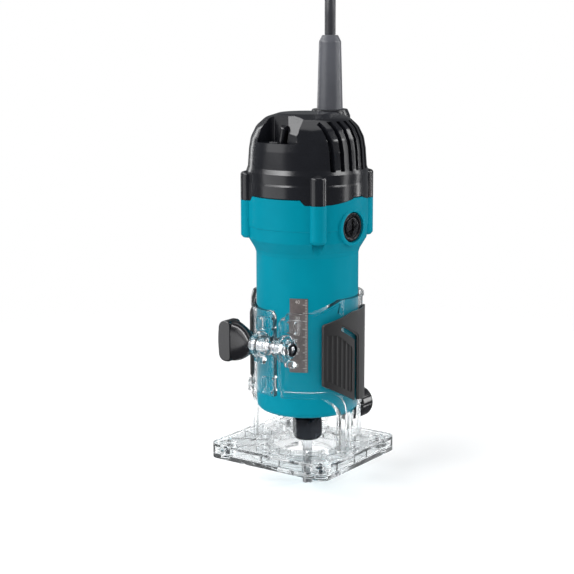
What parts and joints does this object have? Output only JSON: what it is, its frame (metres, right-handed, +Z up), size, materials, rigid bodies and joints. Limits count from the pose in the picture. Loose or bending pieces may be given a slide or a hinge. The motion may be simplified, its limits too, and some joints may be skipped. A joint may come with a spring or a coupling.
{
  "type": "trim router",
  "caption": "Compact corded trim router: motor unit in a clear split base with a winged clamp, rear guide knob, side grips, toggle switch, collet and straight cutter.",
  "frame": {"origin": "on the spindle axis, in the plane of the sole", "axes": "+Z up along the spindle towards the cord, -Y towards the clamp at the front, +X to the operator's right"},
  "size_m": [0.1267, 0.1694, 0.3348],
  "materials": {
    "clear_plastic": "clear polycarbonate, moulded, glossy",
    "teal_plastic": "teal glass-filled nylon, fine satin texture",
    "black_plastic": "black glass-filled nylon, satin",
    "grip_rubber": "soft black moulded grip, matte",
    "cord_rubber": "dark grey cord rubber, satin",
    "knob_plastic": "black phenolic, satin gloss",
    "steel": "plain turned steel",
    "dark_steel": "blackened steel",
    "brass": "drawn brass",
    "copper": "enamelled copper wire",
    "lamination": "stacked electrical steel",
    "carbon": "pressed carbon",
    "label_film": "grey-brown printed scale film",
    "nylon": "dark grey moulded nylon",
    "strap_fabric": "black hook-and-loop strap"
  },
  "bodies": {
    "base": {"clear_base": "clear_plastic", "sole_plate": "clear_plastic", "sole_screw_1": "dark_steel", "sole_screw_2": "dark_steel", "sole_screw_3": "dark_steel", "sole_screw_4": "dark_steel", "left_grip_pad": "grip_rubber", "right_grip_pad": "grip_rubber", "clamp_nut": "dark_steel"},
    "motor": {"motor_housing": "teal_plastic", "top_cover": "black_plastic", "cover_screw_1": "steel", "cover_screw_2": "steel", "cover_screw_3": "steel", "cover_screw_4": "steel", "scale_label": "label_film", "brush_cap_left": "black_plastic", "brush_holder_left": "brass", "carbon_brush_left": "carbon", "brush_spring_left": "steel", "field_coil_left": "copper", "brush_cap_right": "black_plastic", "brush_holder_right": "brass", "carbon_brush_right": "carbon", "brush_spring_right": "steel", "field_coil_right": "copper", "field_core": "lamination", "lower_bearing": "steel", "bearing_retainer": "dark_steel", "upper_bearing": "steel", "bearing_bridge": "nylon", "air_baffle": "nylon", "switch_body": "nylon", "cord_guard": "cord_rubber", "inner_lead": "cord_rubber", "cord_clamp": "nylon", "power_cord": "cord_rubber", "cord_hank": "cord_rubber", "plug_body": "cord_rubber", "plug_pin_1": "steel", "plug_pin_2": "steel", "plug_lead": "cord_rubber", "cord_tie": "strap_fabric"},
    "spindle": {"armature_shaft": "dark_steel", "armature_core": "lamination", "armature_winding_lower": "copper", "armature_winding_upper": "copper", "commutator": "copper", "cooling_fan": "nylon", "collet_cone": "steel"},
    "collet_nut": {"collet_nut": "dark_steel"},
    "cutter_bit": {"cutter_bit": "steel"},
    "clamp_knob": {"clamp_bolt": "steel", "clamp_knob": "knob_plastic"},
    "guide_knob": {"guide_stud": "steel", "guide_knob": "knob_plastic"},
    "switch_lever": {"switch_lever": "knob_plastic"}
  },
  "joints": [
    {"name": "depth_slide", "type": "slide", "parent": "base", "child": "motor", "axis": [0, 0, 1], "range_m": [-0.01, 0.03]},
    {"name": "spindle_spin", "type": "hinge", "parent": "motor", "child": "spindle", "pos_m": [0, 0, 0.04], "axis": [0, 0, 1], "continuous": true},
    {"name": "nut_turn", "type": "hinge", "parent": "spindle", "child": "collet_nut", "pos_m": [0, 0, 0.018], "axis": [0, 0, -1], "range_deg": [0, 360]},
    {"name": "bit_slide", "type": "slide", "parent": "spindle", "child": "cutter_bit", "axis": [0, 0, -1], "range_m": [0, 0.015]},
    {"name": "clamp_turn", "type": "hinge", "parent": "base", "child": "clamp_knob", "pos_m": [0, -0.041, 0.0795], "axis": [-1, 0, 0], "range_deg": [0, 450]},
    {"name": "guide_turn", "type": "hinge", "parent": "base", "child": "guide_knob", "pos_m": [0, 0.05, 0.0212], "axis": [0, 1, 0], "range_deg": [0, 450]},
    {"name": "switch_tilt", "type": "hinge", "parent": "motor", "child": "switch_lever", "pos_m": [0, -0.028, 0.196], "axis": [0, 1, 0], "range_deg": [-36, 0]}
  ]
}
